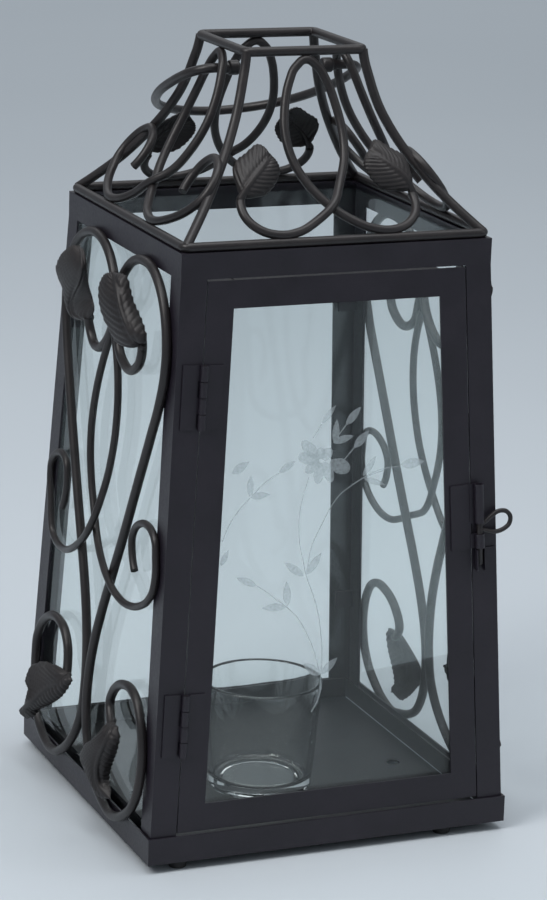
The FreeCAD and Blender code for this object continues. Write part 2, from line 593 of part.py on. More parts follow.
# --------------------------------------------------------------------- cup
CZ = FLOOR_Z
prof = [V(0, 0, CZ + 0.6), V(20, 0, CZ + 0.6), V(21.5, 0, CZ), V(CUP_R_BOTTOM - 1.6, 0, CZ)]
edges = [Part.LineSegment(prof[0], prof[1]).toShape(), Part.LineSegment(prof[1], prof[2]).toShape(),
         Part.LineSegment(prof[2], prof[3]).toShape()]
rb = V(CUP_R_BOTTOM, 0, CZ + 1.8)
edges.append(Part.Arc(prof[3], V(CUP_R_BOTTOM - 0.45, 0, CZ + 0.5), rb).toShape())
rim_o = V(CUP_R_TOP, 0, CZ + CUP_H - 1.1)
edges.append(Part.LineSegment(rb, rim_o).toShape())
rim_i = V(CUP_R_TOP - 2.2, 0, CZ + CUP_H - 1.1)
edges.append(Part.Arc(rim_o, V(CUP_R_TOP - 1.1, 0, CZ + CUP_H), rim_i).toShape())
in_lo = V(25.6, 0, CZ + 9.0)
edges.append(Part.LineSegment(rim_i, in_lo).toShape())
in_b = V(21.0, 0, CZ + 5.2)
edges.append(Part.Arc(in_lo, V(24.2, 0, CZ + 6.2), in_b).toShape())
edges.append(Part.LineSegment(in_b, V(0, 0, CZ + 5.2)).toShape())
edges.append(Part.LineSegment(V(0, 0, CZ + 5.2), prof[0]).toShape())
cup = Part.Face(Part.Wire(edges)).revolve(V(0, 0, 0), V(0, 0, 1), 360)
if cup.Volume < 0:
    cup.reverse()
cup.translate(V(CUP_X, CUP_Y, 0))
save(cup, "votive_cup")
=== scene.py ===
import math

import bmesh
import bpy
import numpy as np
from mathutils import Matrix, Vector


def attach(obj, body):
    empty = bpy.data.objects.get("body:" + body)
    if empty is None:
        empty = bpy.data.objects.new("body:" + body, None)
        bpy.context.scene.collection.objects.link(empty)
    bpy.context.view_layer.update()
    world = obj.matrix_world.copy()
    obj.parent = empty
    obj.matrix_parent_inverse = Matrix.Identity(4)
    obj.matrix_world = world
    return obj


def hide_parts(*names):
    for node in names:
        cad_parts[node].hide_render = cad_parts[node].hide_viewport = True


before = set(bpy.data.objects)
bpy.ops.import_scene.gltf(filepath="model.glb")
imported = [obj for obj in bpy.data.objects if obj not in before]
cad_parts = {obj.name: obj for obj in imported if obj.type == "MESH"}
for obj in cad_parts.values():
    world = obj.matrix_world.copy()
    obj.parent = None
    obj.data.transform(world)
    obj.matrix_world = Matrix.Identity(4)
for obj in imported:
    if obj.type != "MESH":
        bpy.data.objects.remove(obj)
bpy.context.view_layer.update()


MM = 0.001
scene = bpy.context.scene
scene.view_settings.view_transform = "Standard"
scene.view_settings.look = "None"

# ------------------------------------------------------------------ camera
cam_data = bpy.data.cameras.new("camera")
cam_data.sensor_width = 36.0
cam_data.lens = 3205.70 * 36.0 / 900.0
cam_data.clip_start = 0.05
cam_data.clip_end = 60.0
cam = bpy.data.objects.new("camera", cam_data)
scene.collection.objects.link(cam)
fwd = Vector((0.376764324, 0.888048982, -0.263472294))
right = Vector((0.923512629, -0.382197011, 0.032401681))
up = Vector((0.071924044, 0.255527789, 0.964122648))
rot = Matrix((right, up, -fwd)).transposed().to_4x4()
cam.matrix_world = Matrix.Translation(Vector((-0.645565, -1.529958, 0.645406))) @ rot
scene.camera = cam


# ------------------------------------------------------------ material help
class Tree:
    """Small helper around one material's nodes."""

    def __init__(self, name):
        self.mat = bpy.data.materials.new(name)
        self.mat.use_nodes = True
        self.t = self.mat.node_tree
        self.t.nodes.clear()
        self.out = self.add("ShaderNodeOutputMaterial")
        self.co = self.add("ShaderNodeTexCoord").outputs["Object"]

    def add(self, kind, **props):
        n = self.t.nodes.new(kind)
        for k, v in props.items():
            setattr(n, k, v)
        return n

    def link(self, a, b):
        self.t.links.new(a, b)

    def noise(self, scale, detail=3.0, rough=0.5, distort=0.0):
        n = self.add("ShaderNodeTexNoise")
        self.link(self.co, n.inputs["Vector"])
        n.inputs["Scale"].default_value = scale
        n.inputs["Detail"].default_value = detail
        n.inputs["Roughness"].default_value = rough
        n.inputs["Distortion"].default_value = distort
        return n.outputs["Fac"]

    def voronoi(self, scale, feature="F1"):
        n = self.add("ShaderNodeTexVoronoi", feature=feature)
        self.link(self.co, n.inputs["Vector"])
        n.inputs["Scale"].default_value = scale
        return n.outputs["Distance"]

    def ramp(self, fac, stops):
        n = self.add("ShaderNodeValToRGB")
        self.link(fac, n.inputs["Fac"])
        e = n.color_ramp.elements
        while len(e) < len(stops):
            e.new(0.5)
        for el, (p, c) in zip(e, stops):
            el.position = p
            el.color = (*c, 1.0) if len(c) == 3 else c
        return n.outputs["Color"]

    def span(self, fac, lo, hi, a=0.0, b=1.0):
        n = self.add("ShaderNodeMapRange")
        self.link(fac, n.inputs["Value"])
        n.inputs["From Min"].default_value = a
        n.inputs["From Max"].default_value = b
        n.inputs["To Min"].default_value = lo
        n.inputs["To Max"].default_value = hi
        return n.outputs["Result"]

    def math(self, op, a, b):
        n = self.add("ShaderNodeMath", operation=op)
        for i, v in enumerate((a, b)):
            if isinstance(v, (int, float)):
                n.inputs[i].default_value = v
            else:
                self.link(v, n.inputs[i])
        return n.outputs[0]

    def mix(self, fac, a, b):
        n = self.add("ShaderNodeMix", data_type="RGBA")
        for key, v in (("Factor", fac), ("A", a), ("B", b)):
            s = [q for q in n.inputs if q.name == key and (key == "Factor" and q.type == "VALUE" or key != "Factor" and q.type == "RGBA")][0]
            if isinstance(v, (int, float)):
                s.default_value = v
            elif isinstance(v, tuple):
                s.default_value = (*v, 1.0)
            else:
                self.link(v, s)
        return [q for q in n.outputs if q.type == "RGBA"][0]

    def bump(self, height, strength, distance, normal=None):
        n = self.add("ShaderNodeBump")
        n.inputs["Strength"].default_value = strength
        n.inputs["Distance"].default_value = distance
        self.link(height, n.inputs["Height"])
        if normal is not None:
            self.link(normal, n.inputs["Normal"])
        return n.outputs["Normal"]


# ----------------------------------------------------------- powder coating
def powder_coat(name, dark, mid, pale, rough_lo, rough_hi, peel):
    m = Tree(name)
    p = m.add("ShaderNodeBsdfPrincipled")
    cloud = m.noise(34.0, 4.0, 0.6)
    grain = m.noise(620.0, 3.0, 0.55)
    fleck = m.voronoi(1500.0)
    tone = m.math("ADD", m.math("MULTIPLY", cloud, 0.7), m.math("MULTIPLY", grain, 0.3))
    base = m.ramp(tone, [(0.32, dark), (0.5, mid), (0.70, pale)])
    spark = m.ramp(fleck, [(0.03, (1, 1, 1)), (0.10, (0, 0, 0))])
    col = m.mix(m.math("MULTIPLY", spark, 0.20), base, (0.085, 0.070, 0.064))
    m.link(col, p.inputs["Base Color"])
    rough = m.span(m.math("ADD", m.math("MULTIPLY", cloud, 0.5), m.math("MULTIPLY", grain, 0.5)), rough_lo, rough_hi, 0.3, 0.7)
    m.link(rough, p.inputs["Roughness"])
    p.inputs["Metallic"].default_value = 0.0
    p.inputs["IOR"].default_value = 1.5
    p.inputs["Specular IOR Level"].default_value = 0.42
    p.inputs["Coat Weight"].default_value = 0.06
    p.inputs["Coat Roughness"].default_value = 0.30
    n1 = m.bump(m.noise(430.0, 2.0, 0.5), peel, 0.00035)
    n2 = m.bump(fleck, 0.10, 0.00008, n1)
    n3 = m.bump(m.noise(60.0, 2.0, 0.5), 0.06, 0.0012, n2)
    m.link(n3, p.inputs["Normal"])
    m.link(p.outputs[0], m.out.inputs["Surface"])
    return m.mat


STEEL = powder_coat("powder_coat_frame", (0.0080, 0.0060, 0.0105), (0.0115, 0.0088, 0.0150), (0.0170, 0.0132, 0.0205), 0.36, 0.54, 0.16)
WIRE = powder_coat("powder_coat_wire", (0.0095, 0.0078, 0.0084), (0.0145, 0.0118, 0.0124), (0.0220, 0.0178, 0.0178), 0.32, 0.50, 0.20)
LEAF = powder_coat("powder_coat_leaf", (0.0105, 0.0085, 0.0090), (0.0165, 0.0135, 0.0138), (0.0250, 0.0205, 0.0200), 0.44, 0.60, 0.26)
# painted shade: a darker, bluer copy of the frame coat for the floor plate and sill, standing in for the shade
# inside the case
SHADED_FLOOR_COAT = powder_coat("powder_coat_painted_shade", (0.0030, 0.0034, 0.0050), (0.0044, 0.0050, 0.0070), (0.0064, 0.0070, 0.0092), 0.44, 0.60, 0.10)


def glass_pane():
    """Clear sheet glass: it mirrors by its angle and lets the rest through."""
    m = Tree("sheet_glass")
    clear = m.add("ShaderNodeBsdfTransparent")
    haze = m.add("ShaderNodeBsdfDiffuse")
    shine = m.add("ShaderNodeBsdfGlossy")
    tint = m.ramp(m.noise(9.0, 2.0, 0.5), [(0.3, (0.966, 0.984, 0.982)), (0.7, (0.978, 0.992, 0.990))])
    m.link(tint, clear.inputs["Color"])
    haze.inputs["Color"].default_value = (0.72, 0.80, 0.80, 1)
    shine.inputs["Color"].default_value = (0.96, 1.0, 1.0, 1)
    m.link(m.span(m.noise(55.0, 4.0, 0.6), 0.0, 0.035, 0.35, 0.7), shine.inputs["Roughness"])
    wave = m.bump(m.noise(14.0, 1.0, 0.4), 0.05, 0.0006)
    m.link(wave, shine.inputs["Normal"])
    facing = m.add("ShaderNodeLayerWeight")
    facing.inputs["Blend"].default_value = 0.5
    fres = m.math("ADD", m.math("MULTIPLY", m.math("POWER", facing.outputs["Facing"], 5.0), 0.80), 0.028)
    dust = m.add("ShaderNodeMixShader")
    m.link(m.span(m.noise(26.0, 5.0, 0.65), 0.001, 0.009, 0.35, 0.75), dust.inputs[0])
    m.link(clear.outputs[0], dust.inputs[1])
    m.link(haze.outputs[0], dust.inputs[2])
    mix = m.add("ShaderNodeMixShader")
    m.link(fres, mix.inputs[0])
    m.link(dust.outputs[0], mix.inputs[1])
    m.link(shine.outputs[0], mix.inputs[2])
    m.link(mix.outputs[0], m.out.inputs["Surface"])
    return m.mat


PANE = glass_pane()


def cup_glass():
    m = Tree("pressed_glass")
    p = m.add("ShaderNodeBsdfPrincipled")
    p.inputs["Base Color"].default_value = (0.985, 0.995, 0.99, 1)
    p.inputs["Transmission Weight"].default_value = 1.0
    p.inputs["IOR"].default_value = 1.47
    m.link(m.span(m.noise(90.0, 3.0, 0.55), 0.0, 0.02, 0.35, 0.7), p.inputs["Roughness"])
    ripple = m.bump(m.noise(70.0, 2.0, 0.5, 0.3), 0.10, 0.0008)
    m.link(ripple, p.inputs["Normal"])
    clear = m.add("ShaderNodeBsdfTransparent")
    clear.inputs["Color"].default_value = (0.93, 0.95, 0.945, 1)
    path = m.add("ShaderNodeLightPath")
    mix = m.add("ShaderNodeMixShader")
    m.link(path.outputs["Is Shadow Ray"], mix.inputs[0])
    m.link(p.outputs[0], mix.inputs[1])
    m.link(clear.outputs[0], mix.inputs[2])
    m.link(mix.outputs[0], m.out.inputs["Surface"])
    return m.mat


CUP = cup_glass()


def etched():
    """Wheel-cut frosting in the face of the glass."""
    m = Tree("frosted_cut")
    clear = m.add("ShaderNodeBsdfTransparent")
    clear.inputs["Color"].default_value = (0.93, 0.96, 0.955, 1)
    white = m.add("ShaderNodeBsdfDiffuse")
    m.link(m.ramp(m.noise(900.0, 2.0, 0.5), [(0.3, (0.50, 0.55, 0.57)), (0.7, (0.56, 0.61, 0.63))]), white.inputs["Color"])
    m.link(m.bump(m.noise(1600.0, 2.0, 0.6), 0.4, 0.0001), white.inputs["Normal"])
    mix = m.add("ShaderNodeMixShader")
    m.link(m.span(m.noise(700.0, 2.0, 0.5), 0.36, 0.50, 0.3, 0.7), mix.inputs[0])
    m.link(clear.outputs[0], mix.inputs[1])
    m.link(white.outputs[0], mix.inputs[2])
    m.link(mix.outputs[0], m.out.inputs["Surface"])
    return m.mat


ETCH = etched()


def plated(name, lo, hi, r0, r1, metal):
    m = Tree(name)
    p = m.add("ShaderNodeBsdfPrincipled")
    m.link(m.ramp(m.noise(300.0, 4.0, 0.6), [(0.3, lo), (0.7, hi)]), p.inputs["Base Color"])
    m.link(m.span(m.noise(500.0, 3.0, 0.6), r0, r1, 0.3, 0.7), p.inputs["Roughness"])
    p.inputs["Metallic"].default_value = metal
    m.link(m.bump(m.noise(800.0, 2.0, 0.5), 0.12, 0.0001), p.inputs["Normal"])
    m.link(p.outputs[0], m.out.inputs["Surface"])
    return m.mat


PIN = plated("blackened_pin", (0.045, 0.040, 0.040), (0.080, 0.072, 0.070), 0.35, 0.5, 0.85)
RUBBER = plated("foot_rubber", (0.0075, 0.0075, 0.008), (0.0130, 0.0125, 0.0130), 0.62, 0.80, 0.0)


def paint(o, mat):
    if not o.material_slots:
        o.data.materials.append(mat)
    for s in o.material_slots:
        s.material = mat


wires = ("scroll_", "tendril_", "crown_ring", "crown_corner", "crown_ribbon", "bail_")
for name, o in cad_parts.items():
    if name.startswith(("pane_left", "pane_right", "pane_rear", "door_pane")):
        paint(o, PANE)
    elif name == "votive_cup":
        paint(o, CUP)
    elif name in ("floor_plate", "sill_frame"):
        # floor plate and sill get the darker coat with the painted shade of the case's inside
        paint(o, SHADED_FLOOR_COAT)
    elif name == "feet":
        paint(o, RUBBER)
    elif name in ("hinge_pins", "latch_bolt"):
        paint(o, PIN if name == "hinge_pins" else WIRE)
    elif name.startswith(wires):
        paint(o, WIRE)
    elif "leaf_left" in name or "leaf_right" in name or name.startswith("crown_leaf"):
        paint(o, LEAF)
    else:
        paint(o, STEEL)


# ------------------------------------------------------------- stamped leaves
def curve(points, t):
    """Smooth line through the points, t from 0 to 1 along its length."""
    p = np.array(points, float)
    d = np.r_[0, np.cumsum(np.linalg.norm(np.diff(p, axis=0), axis=1))]
    d /= d[-1]
    m = np.gradient(p, d, axis=0)
    i = np.clip(np.searchsorted(d, t, side="right") - 1, 0, len(d) - 2)
    h = (d[i + 1] - d[i])[:, None]
    s = ((t - d[i])[:, None]) / h
    return ((2 * s ** 3 - 3 * s ** 2 + 1) * p[i] + (s ** 3 - 2 * s ** 2 + s) * h * m[i]
            + (-2 * s ** 3 + 3 * s ** 2) * p[i + 1] + (s ** 3 - s ** 2) * h * m[i + 1])


def normals(p, side):
    du = np.gradient(p, axis=0)
    dv = np.gradient(p, axis=1)
    n = np.cross(du, dv)
    n /= np.maximum(np.linalg.norm(n, axis=2, keepdims=True), 1e-9)
    if (n[n.shape[0] // 2, n.shape[1] // 2] @ np.array(side, float)) < 0:
        n = -n
    return n


def leaf_form(ridge, left, right, side, bulge=(1.6, 1.6), pitch=3.2, slant=0.75, deep=(0.55, 0.55), teeth=0.45, stalk=(2.15, 1.5), nu=96, nv=17):
    """Vertices (mm) and faces of a stamped leaf with midrib, veins and teeth."""
    u = np.linspace(0.004, 0.996, nu)
    r, a, b = curve(ridge, u), curve(left, u), curve(right, u)
    s = np.linspace(0, 1, nv)
    length = np.linalg.norm(np.diff(r, axis=0), axis=1).sum()
    halves = []
    for edge, puff in ((a, bulge[0]), (b, bulge[1])):
        w = np.linalg.norm(edge - r, axis=1)
        q = (u[:, None] * length - s[None, :] * w[:, None] * slant) / pitch
        tooth = np.abs((q[:, -1] % 1.0) - 0.25) * 1.2 - 0.3
        out = (edge - r) / np.maximum(w, 0.3)[:, None]
        edge = edge + out * (tooth * teeth * 2 * np.clip(w / 6, 0, 1))[:, None]
        p = r[:, None, :] + (edge - r)[:, None, :] * s[None, :, None]
        halves.append((p, w, q, puff))
    grid = np.concatenate([halves[0][0][:, :0:-1], halves[1][0]], axis=1)
    n = normals(grid, side)
    ss = np.concatenate([s[:0:-1], s])
    lift = np.zeros(grid.shape[:2])
    for k, (p, w, q, puff) in enumerate(halves):
        x = s[None, :]
        ww = w[:, None]
        k_w = np.clip(ww / 8.0, 0, 1)
        dome = puff * np.sin(np.pi * np.clip(x, 0, 1) ** 0.85) * k_w
        rib = 0.75 * np.exp(-((x * ww) / 0.85) ** 2) - 0.40 * np.exp(-((x * ww - 1.9) / 0.8) ** 2)
        f = q % 1.0
        groove = -np.exp(-((f - 0.5) / 0.17) ** 2)
        fade = np.clip((x * ww - 0.9) / 1.6, 0, 1) * np.clip((1 - x) * ww / 1.6, 0.15, 1)
        vein = deep[k] * (groove + 0.32) * fade * k_w
        roll = -0.5 * np.clip((x - 0.86) / 0.14, 0, 1) ** 2 * k_w
        z = dome + rib * np.clip(np.sin(np.pi * u)[:, None] * 1.6, 0.15, 1) + vein + roll
        if k == 0:
            lift[:, :nv - 1] = z[:, :0:-1]
        else:
            lift[:, nv - 1:] = z
    top = grid + n * lift[:, :, None]
    n = normals(top, side)
    thick = 1.15 - 0.55 * ss[None, :] ** 3 + 0 * lift
    smooth = grid + n * (lift * 0.8)[:, :, None]
    low = smooth - n * thick[:, :, None]
    rows, cols = top.shape[:2]
    verts = np.concatenate([top.reshape(-1, 3), low.reshape(-1, 3)])
    base = rows * cols
    faces = []
    for i in range(rows - 1):
        for j in range(cols - 1):
            q = (i * cols + j, i * cols + j + 1, (i + 1) * cols + j + 1, (i + 1) * cols + j)
            faces.append(q)
            faces.append(tuple(base + v for v in reversed(q)))
    rim = [i * cols for i in range(rows)] + [(rows - 1) * cols + j for j in range(1, cols)]
    rim += [i * cols + cols - 1 for i in range(rows - 2, -1, -1)] + [j for j in range(cols - 2, 0, -1)]
    for v, w in zip(rim, rim[1:] + rim[:1]):
        faces.append((v, base + v, base + w, w))
    # stalk that runs under the midrib and fades into it
    tt = np.linspace(0.0, 0.62, 26)
    line = curve(ridge, tt)
    first = line[0] - (line[1] - line[0]) / max(np.linalg.norm(line[1] - line[0]), 1e-6) * stalk[1]
    line = np.vstack([first, line])
    mid_n = n[:, nv - 1]
    sink = np.array([mid_n[min(int(t * nu), nu - 1)] for t in np.r_[0, tt]])
    radius = np.linspace(stalk[0], 0.35, len(line))
    line = line - sink * (0.3 + 0.55 * radius)[:, None]
    start = len(verts)
    ring = 14
    tang = np.gradient(line, axis=0)
    tang /= np.linalg.norm(tang, axis=1, keepdims=True)
    ref = np.cross(tang, sink)
    ref /= np.linalg.norm(ref, axis=1, keepdims=True)
    oth = np.cross(tang, ref)
    more = []
    for c, x, y, rad in zip(line, ref, oth, radius):
        for k in range(ring):
            w = 2 * math.pi * k / ring
            more.append(c + (x * math.cos(w) + y * math.sin(w)) * rad)
    verts = np.vstack([verts, np.array(more)])
    for i in range(len(line) - 1):
        for k in range(ring):
            k2 = (k + 1) % ring
            faces.append((start + i * ring + k, start + i * ring + k2, start + (i + 1) * ring + k2, start + (i + 1) * ring + k))
    faces.append(tuple(start + k for k in reversed(range(ring))))
    faces.append(tuple(start + (len(line) - 1) * ring + k for k in range(ring)))
    return verts, faces


def make_mesh(name, verts, faces, mat, smooth=True):
    me = bpy.data.meshes.new(name)
    me.from_pydata([tuple(v) for v in np.asarray(verts) * MM], [], [tuple(int(k) for k in f) for f in faces])
    bm = bmesh.new()
    bm.from_mesh(me)
    bmesh.ops.recalc_face_normals(bm, faces=bm.faces)
    bm.to_mesh(me)
    bm.free()
    for p in me.polygons:
        p.use_smooth = smooth
    me.materials.append(mat)
    o = bpy.data.objects.new(name, me)
    scene.collection.objects.link(o)
    return o


LEAVES = {
    "upper_rear": dict(
        ridge=[(-91.7, 32.0, 261.5), (-94.0, 37.5, 261.5), (-95.7, 45.5, 263.0), (-96.7, 45.5, 268.0), (-97.8, 38.5, 275.0), (-99.3, 26.5, 284.2), (-99.9, 20.5, 292.4), (-99.1, 23.8, 298.1), (-97.5, 34.4, 301.5)],
        left=[(-91.7, 32.0, 261.5), (-93.8, 39.6, 259.6), (-95.1, 47.9, 259.2), (-96.4, 54.1, 262.8), (-98.1, 54.4, 268.9), (-100.3, 52.6, 275.9), (-103.4, 53.8, 284.0), (-102.9, 49.7, 292.4), (-100.6, 41.4, 299.1), (-97.5, 34.4, 301.5)],
        right=[(-91.7, 32.0, 261.5), (-91.3, 27.0, 265.3), (-91.3, 25.6, 269.4), (-91.4, 28.0, 273.7), (-93.6, 26.9, 280.0), (-95.7, 23.6, 287.3), (-96.8, 21.5, 294.2), (-97.3, 24.3, 300.1), (-97.5, 34.4, 301.5)],
        bulge=(1.8, 1.2), pitch=3.3, deep=(0.5, 0.6)),
    "upper_front": dict(
        ridge=[(-90.7, -46.8, 266.2), (-94.1, -48.0, 268.7), (-97.0, -48.2, 271.6), (-99.2, -45.9, 276.9), (-100.4, -41.4, 283.2), (-100.6, -37.1, 289.0), (-99.8, -30.2, 294.2), (-98.6, -22.0, 298.7)],
        left=[(-90.7, -46.8, 266.2), (-93.3, -45.3, 264.7), (-96.4, -40.4, 263.7), (-99.4, -30.6, 264.5), (-101.5, -24.2, 270.5), (-103.2, -18.6, 277.2), (-103.8, -15.3, 284.9), (-102.5, -12.7, 291.1), (-100.7, -14.4, 296.1), (-98.6, -21.9, 299.2)],
        right=[(-90.7, -46.8, 266.2), (-90.7, -53.2, 269.7), (-90.9, -52.8, 273.3), (-90.9, -48.8, 277.8), (-91.2, -42.9, 282.5), (-92.0, -37.2, 287.5), (-92.9, -35.0, 292.8), (-94.6, -33.4, 298.8), (-98.6, -21.9, 299.2)],
        bulge=(1.6, 1.5), pitch=3.7, deep=(0.75, 0.25), teeth=0.4),
    "lower_rear": dict(
        ridge=[(-102.1, 24.2, 67.6), (-106.3, 26.8, 62.6), (-110.1, 35.6, 56.5), (-112.9, 42.4, 50.5), (-115.2, 48.9, 43.8), (-116.1, 58.2, 36.1), (-113.5, 60.7, 29.6)],
        left=[(-102.1, 24.2, 67.6), (-104.5, 30.7, 68.5), (-107.0, 41.9, 68.0), (-108.7, 57.2, 63.6), (-111.5, 64.4, 58.6), (-113.7, 63.6, 53.9), (-115.4, 53.9, 50.3), (-116.4, 57.5, 40.4), (-115.8, 66.0, 32.1), (-113.5, 60.7, 29.6)],
        right=[(-102.1, 24.2, 67.6), (-102.4, 19.0, 65.4), (-102.9, 23.1, 59.5), (-104.2, 27.4, 54.1), (-105.6, 36.6, 47.0), (-106.9, 47.8, 40.7), (-108.6, 54.6, 36.5), (-110.3, 55.6, 33.4), (-113.5, 60.7, 29.6)],
        bulge=(1.6, 1.6), pitch=3.1, deep=(0.5, 0.6), stalk=(1.3, 0.2)),
    "lower_front": dict(
        ridge=[(-101.9, -42.9, 64.1), (-106.4, -51.8, 60.5), (-109.2, -51.7, 53.6), (-110.6, -48.2, 45.8), (-111.0, -46.5, 38.6), (-109.4, -45.6, 30.8), (-107.6, -50.2, 26.7), (-105.7, -54.3, 24.6)],
        left=[(-101.9, -42.9, 64.1), (-105.5, -40.8, 58.7), (-109.3, -37.7, 53.0), (-112.1, -30.1, 47.0), (-114.0, -27.9, 39.4), (-113.3, -34.2, 33.7), (-111.1, -39.5, 27.0), (-108.3, -44.6, 22.4), (-105.7, -54.3, 24.6)],
        right=[(-101.9, -42.9, 64.1), (-101.9, -53.8, 63.5), (-101.9, -56.3, 59.9), (-102.1, -54.4, 51.5), (-102.7, -48.7, 41.2), (-103.3, -46.3, 32.6), (-104.3, -51.8, 28.0), (-105.7, -54.3, 24.6)],
        bulge=(1.8, 1.2), pitch=3.1, deep=(0.55, 0.6)),
}
CROWN_LEAF = dict(
    ridge=[(-47.6, -68.0, 344.0), (-44.7, -68.5, 349.1), (-40.4, -67.0, 353.7), (-35.6, -64.0, 357.5), (-30.6, -59.5, 361.1), (-27.1, -55.5, 363.3)],
    left=[(-47.6, -68.0, 344.0), (-48.0, -62.0, 349.0), (-48.8, -59.0, 353.6), (-47.2, -56.5, 359.7), (-40.4, -54.0, 364.1), (-31.9, -51.5, 368.2), (-27.1, -55.5, 363.3)],
    right=[(-47.6, -68.0, 344.0), (-39.9, -66.5, 343.2), (-32.1, -64.5, 344.5), (-26.5, -62.5, 349.2), (-23.0, -59.5, 356.2), (-24.1, -57.0, 359.9), (-27.1, -55.5, 363.3)],
    bulge=(1.5, 1.5), pitch=2.6, deep=(0.6, 0.6), teeth=0.3)


def place_leaf(form, name, node, sx, sy):
    verts, faces = form
    o = make_mesh(name, verts * np.array([sx, sy, 1.0]), faces, LEAF)
    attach(o, "case")
    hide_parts(node)
    return o


for key, spec in LEAVES.items():
    form = leaf_form(side=(-1, 0, 0.05), **spec)
    place_leaf(form, "stamped_leaf_left_" + key, "leaf_left_" + key, 1, 1)
    level, end = key.split("_")
    other = level + ("_front" if end == "rear" else "_rear")
    place_leaf(form, "stamped_leaf_right_" + other, "leaf_right_" + other, -1, -1)
form = leaf_form(side=(0, -1, 0.4), **CROWN_LEAF)
for fy, front in ((1, "front"), (-1, "rear")):
    for fx, lr in ((1, "left"), (-1, "right")):
        place_leaf(form, f"stamped_crown_leaf_{front}_{lr}", f"crown_leaf_{front}_{lr}", fx, fy)


# ------------------------------------------------------------- latch and edges
SLOPE = (100.0 - 85.16) / (307.14 - 19.25)


def half(z):
    """Half width of the case at a height, mm."""
    return 100.0 - (z - 19.25) * SLOPE


def unit(v):
    v = np.array(v, float)
    return v / np.linalg.norm(v)


def swept(points, radii, ring=18):
    """Round bar along the points, as vertices and faces."""
    p = np.array(points, float)
    t = np.gradient(p, axis=0)
    t /= np.linalg.norm(t, axis=1, keepdims=True)
    x = np.cross(t, unit((0.01, -1.0, 0.05)))
    x /= np.linalg.norm(x, axis=1, keepdims=True)
    y = np.cross(t, x)
    w = np.linspace(0, 2 * math.pi, ring, endpoint=False)
    verts = [c + (a * math.cos(k) + b * math.sin(k)) * r for c, a, b, r in zip(p, x, y, radii) for k in w]
    faces = [(i * ring + k, i * ring + (k + 1) % ring, (i + 1) * ring + (k + 1) % ring, (i + 1) * ring + k)
             for i in range(len(p) - 1) for k in range(ring)]
    faces.append(tuple(reversed(range(ring))))
    faces.append(tuple((len(p) - 1) * ring + k for k in range(ring)))
    return verts, faces


N = unit((0, -1, SLOPE))
UPW = unit((-SLOPE, SLOPE, 1))
ACROSS = np.cross(UPW, N)
SEAT = np.array([half(170) - 10.8, -half(170), 170.0]) + N * 2.9


def latch_point(a, c, out=0.0):
    return SEAT + ACROSS * a + UPW * c + N * out


EYE = [(0.0, 0.4), (2.4, 1.2), (6.2, 3.8), (11.0, 6.2), (15.4, 5.7), (17.9, 2.4), (17.1, -1.4), (13.3, -3.9), (8.8, -4.6), (5.0, -3.8), (2.3, -2.8), (0.0, -2.5)]
eye = curve([(a, c) for a, c in EYE], np.linspace(0, 1, 90))
bolt_v, bolt_f = swept([latch_point(a, c) for a, c in eye], [1.22] * 90)
rod = [(-21.0, 1.2), (-20.7, 1.5), (8.2, 1.5), (8.5, 1.2)]
rod_v, rod_f = swept([latch_point(0, c) for c, r in rod], [r for c, r in rod])
n0 = len(bolt_v)
bolt = make_mesh("pulled_bolt", np.array(bolt_v + rod_v), bolt_f + [tuple(k + n0 for k in f) for f in rod_f], WIRE)
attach(bolt, "latch_bolt_body")
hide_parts("latch_bolt")


def block(x0, x1, y0, y1, z0, z1):
    v = [(x, y, z) for z in (z0, z1) for y in (y0, y1) for x in (x0, x1)]
    return v, [(0, 2, 3, 1), (4, 5, 7, 6), (0, 1, 5, 4), (2, 6, 7, 3), (0, 4, 6, 2), (1, 3, 7, 5)]


# small folded tab that closes the top of the hinge-side stile
top = half(306.2)
v, f = block(-(top - 15.8), -(top - 29.1), -(top - 1.0), -(top - 7.4), 304.9, 305.8)
tab = make_mesh("stile_top_tab", np.array(v), f, STEEL, smooth=False)
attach(tab, "door")

# painted highlight: a bright strip where the inner rail meets the floor, standing in for the glass edge catching
# the light
EDGE_GLINT = plated("painted_edge_glint", (0.16, 0.19, 0.21), (0.28, 0.32, 0.35), 0.35, 0.55, 0.0)
for side, name in ((1, "right"), (-1, "left")):
    v, f = block(*sorted((side * 93.95, side * 94.5)), -92.0, 92.0, 9.6, 9.85)
    glint_strip = make_mesh("painted_glint_strip_" + name, np.array(v), f, EDGE_GLINT, smooth=False)
    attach(glint_strip, "case")


# --------------------------------------------------- etched spray in the door


def on_pane(x, z, out=0.06):
    """Point on the outer face of the door glass, mm."""
    y = -(100.0 - (z - 19.25) * SLOPE) + 1.5
    return (x, y - out, z)


ETCH_LEAVES = [((-7.4, 229.3), (0.2, 238.6), 3.2), ((0.0, 218.3), (0.9, 231.3), 4.0), ((-1.1, 219.2), (10.6, 222.0), 4.0), ((6.0, 227.8), (14.2, 236.9), 4.3),
               ((10.7, 215.5), (18.9, 224.0), 4.6), ((16.1, 200.4), (23.2, 210.3), 3.8), ((16.7, 199.0), (29.2, 194.6), 3.2), ((37.4, 204.5), (50.8, 205.6), 5.4),
               ((-30.7, 205.8), (-21.5, 211.1), 3.8), ((-56.5, 207.0), (-47.0, 212.7), 4.8), ((-46.5, 194.3), (-46.1, 205.6), 4.0), ((-46.5, 194.0), (-35.5, 194.9), 3.8),
               ((-62.2, 159.6), (-57.9, 167.6), 3.2), ((-16.1, 150.2), (-27.0, 158.1), 4.3), ((-14.4, 151.1), (-6.5, 161.8), 4.6), ((-25.0, 135.1), (-25.8, 148.5), 4.6),
               ((-25.9, 134.7), (-39.4, 135.4), 4.3), ((-42.1, 147.3), (-53.7, 152.8), 3.8), ((-6.2, 96.4), (-15.9, 103.6), 4.8), ((-5.6, 96.9), (3.5, 104.9), 4.3)]
